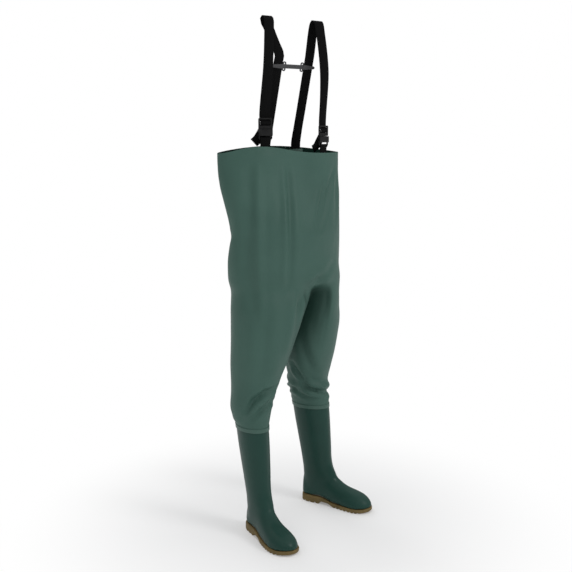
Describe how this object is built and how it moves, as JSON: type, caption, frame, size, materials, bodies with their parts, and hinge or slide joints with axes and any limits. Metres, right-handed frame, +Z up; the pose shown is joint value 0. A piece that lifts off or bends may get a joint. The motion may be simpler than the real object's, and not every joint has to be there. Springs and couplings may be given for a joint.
{
  "type": "chest waders",
  "caption": "Chest-high wading garment of coated fabric with welded-on boots, H-back elastic shoulder straps and side-release buckles.",
  "frame": {"origin": "middle of the bounding box, on the plane the soles stand on", "axes": "+Z up, the wearer faces -Y, the wearer's left is +X"},
  "size_m": [0.5724, 0.4304, 1.8299],
  "materials": {
    "coated_fabric": "matt PVC-coated nylon, dark green",
    "seam_tape": "welded PVC tape, slightly glossier green",
    "boot_rubber": "satin moulded PVC, very dark green",
    "sole_rubber": "matt tan sole rubber",
    "insole_felt": "grey felt",
    "webbing": "black woven elastic",
    "buckle_plastic": "black moulded plastic",
    "connector_plastic": "dark grey moulded plastic"
  },
  "bodies": {
    "garment": {"right_body_half": "coated_fabric", "left_body_half": "coated_fabric", "chest_hem_facing": "coated_fabric", "centre_seam_tape": "seam_tape", "right_leg_weld_band": "seam_tape", "right_boot_upper": "boot_rubber", "right_outsole": "sole_rubber", "right_insole": "insole_felt", "right_shoulder_strap": "webbing", "right_front_tab": "webbing", "right_buckle_male": "buckle_plastic", "right_front_anchor_patch": "seam_tape", "right_back_anchor_patch": "seam_tape", "left_leg_weld_band": "seam_tape", "left_boot_upper": "boot_rubber", "left_outsole": "sole_rubber", "left_insole": "insole_felt", "left_shoulder_strap": "webbing", "left_front_tab": "webbing", "left_buckle_male": "buckle_plastic", "left_front_anchor_patch": "seam_tape", "left_back_anchor_patch": "seam_tape"},
    "right_socket": {"right_buckle_female": "buckle_plastic"},
    "right_outer_latch": {"right_outer_latch": "buckle_plastic"},
    "right_inner_latch": {"right_inner_latch": "buckle_plastic"},
    "left_socket": {"left_buckle_female": "buckle_plastic"},
    "left_outer_latch": {"left_outer_latch": "buckle_plastic"},
    "left_inner_latch": {"left_inner_latch": "buckle_plastic"},
    "back_connector": {"back_connector": "connector_plastic"}
  },
  "joints": [
    {"name": "right_buckle_release", "type": "slide", "parent": "garment", "child": "right_socket", "axis": [0, 0, -1], "range_m": [0, 0.018], "deforming": ["right_front_tab", "right_outer_latch", "right_inner_latch"]},
    {"name": "right_outer_latch_pinch", "type": "hinge", "parent": "garment", "child": "right_outer_latch", "pos_m": [-0.15657, 0.02635, 1.45099], "axis": [-0.1819, -0.9833, 0], "range_deg": [0, 7], "stiffness_Nm_per_rad": 0.05},
    {"name": "right_inner_latch_pinch", "type": "hinge", "parent": "garment", "child": "right_inner_latch", "pos_m": [-0.12707, 0.0209, 1.45099], "axis": [0.1819, 0.9833, 0], "range_deg": [0, 7], "stiffness_Nm_per_rad": 0.05},
    {"name": "left_buckle_release", "type": "slide", "parent": "garment", "child": "left_socket", "axis": [0, 0, -1], "range_m": [0, 0.018], "deforming": ["left_front_tab", "left_outer_latch", "left_inner_latch"]},
    {"name": "left_outer_latch_pinch", "type": "hinge", "parent": "garment", "child": "left_outer_latch", "pos_m": [0.13429, 0.02843, 1.42594], "axis": [-0.2155, 0.9765, 0], "range_deg": [0, 7], "stiffness_Nm_per_rad": 0.05},
    {"name": "left_inner_latch_pinch", "type": "hinge", "parent": "garment", "child": "left_inner_latch", "pos_m": [0.105, 0.02196, 1.42594], "axis": [0.2155, -0.9765, 0], "range_deg": [0, 7], "stiffness_Nm_per_rad": 0.05},
    {"name": "back_connector_slide", "type": "slide", "parent": "garment", "child": "back_connector", "axis": [0, -0.2524, 0.9676], "range_m": [-0.1, 0]}
  ],
  "couplings": [
    {"joint": "right_inner_latch_pinch", "follows": "right_outer_latch_pinch", "ratio": 1},
    {"joint": "left_inner_latch_pinch", "follows": "left_outer_latch_pinch", "ratio": 1}
  ]
}
